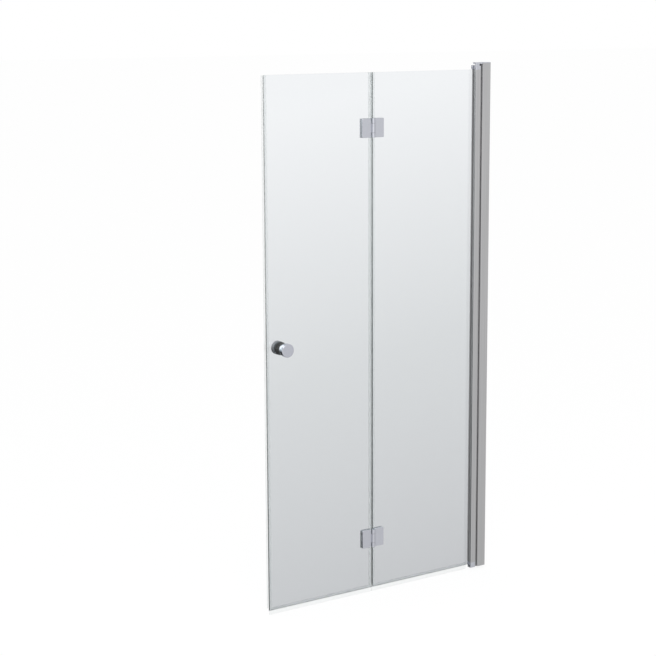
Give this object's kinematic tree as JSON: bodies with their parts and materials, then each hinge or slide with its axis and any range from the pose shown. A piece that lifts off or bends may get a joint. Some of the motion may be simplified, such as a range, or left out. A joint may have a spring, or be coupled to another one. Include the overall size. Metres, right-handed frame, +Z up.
{
  "type": "bifold shower door",
  "caption": "Frameless glass door that folds inwards: a wall profile with a lifting pivot, two panes joined by glass hinges, clear seals and a round knob.",
  "frame": {"origin": "bottom end of the wall channel, on its wall face and on its centre line", "axes": "+X into the wall, -Y towards the person outside, +Z up"},
  "size_m": [1, 0.081, 2.01],
  "materials": {
    "anodised_aluminium": "satin anodised",
    "satin_chrome": "satin chrome plate",
    "clear_glass": "clear tempered safety glass",
    "clear_seal": "clear extruded",
    "clear_gasket": "clear moulded",
    "stainless_steel": "turned",
    "black_steel": "black oxide",
    "acetal": "machined"
  },
  "bodies": {
    "wall_frame": {"wall_channel": "anodised_aluminium", "channel_top_cap": "satin_chrome", "fixed_profile": "anodised_aluminium", "profile_lock_screws": "stainless_steel", "top_bracket": "satin_chrome", "top_bracket_screw": "black_steel", "top_pivot_pin": "stainless_steel", "top_pin_clip": "black_steel", "bottom_bracket": "satin_chrome", "bottom_bracket_screw": "stainless_steel", "bottom_pivot_pin": "stainless_steel", "fixed_lift_cam": "acetal"},
    "bush": {"guide_bush": "acetal"},
    "right_leaf": {"glass_carrier": "anodised_aluminium", "carrier_top_cap": "satin_chrome", "carrier_bottom_cap": "satin_chrome", "carrier_gasket": "clear_gasket", "moving_lift_cam": "acetal", "cam_roll_pin": "stainless_steel", "right_pane": "clear_glass", "right_fold_seal": "clear_seal", "right_bottom_seal": "clear_seal", "upper_hinge_right_plate": "satin_chrome", "upper_hinge_right_gaskets": "clear_gasket", "upper_hinge_right_clamp": "satin_chrome", "upper_hinge_right_screws": "stainless_steel", "upper_hinge_pin": "satin_chrome", "upper_hinge_washers": "acetal", "lower_hinge_right_plate": "satin_chrome", "lower_hinge_right_gaskets": "clear_gasket", "lower_hinge_right_clamp": "satin_chrome", "lower_hinge_right_screws": "stainless_steel", "lower_hinge_pin": "satin_chrome", "lower_hinge_washers": "acetal"},
    "left_leaf": {"left_pane": "clear_glass", "left_fold_seal": "clear_seal", "left_bottom_seal": "clear_seal", "closing_seal": "clear_seal", "upper_hinge_left_plate": "satin_chrome", "upper_hinge_left_gaskets": "clear_gasket", "upper_hinge_left_clamp": "satin_chrome", "upper_hinge_left_screws": "stainless_steel", "lower_hinge_left_plate": "satin_chrome", "lower_hinge_left_gaskets": "clear_gasket", "lower_hinge_left_clamp": "satin_chrome", "lower_hinge_left_screws": "stainless_steel", "knob_outer": "satin_chrome", "knob_inner": "satin_chrome", "knob_stud": "stainless_steel", "knob_sleeve": "clear_gasket", "knob_washers": "clear_gasket", "knob_grub_screw": "black_steel"}
  },
  "joints": [
    {"name": "door_swing", "type": "hinge", "parent": "wall_frame", "child": "bush", "pos_m": [-0.06, 0, 0], "axis": [0, 0, -1], "range_deg": [0, 90]},
    {"name": "door_lift", "type": "slide", "parent": "bush", "child": "right_leaf", "axis": [0, 0, 1], "range_m": [0, 0.0045]},
    {"name": "leaf_fold", "type": "hinge", "parent": "right_leaf", "child": "left_leaf", "pos_m": [-0.532, -0.0005, 0], "axis": [0, 0, 1], "range_deg": [0, 172]}
  ],
  "couplings": [
    {"joint": "door_lift", "follows": "door_swing", "m_per_rad": 0.0028647}
  ]
}
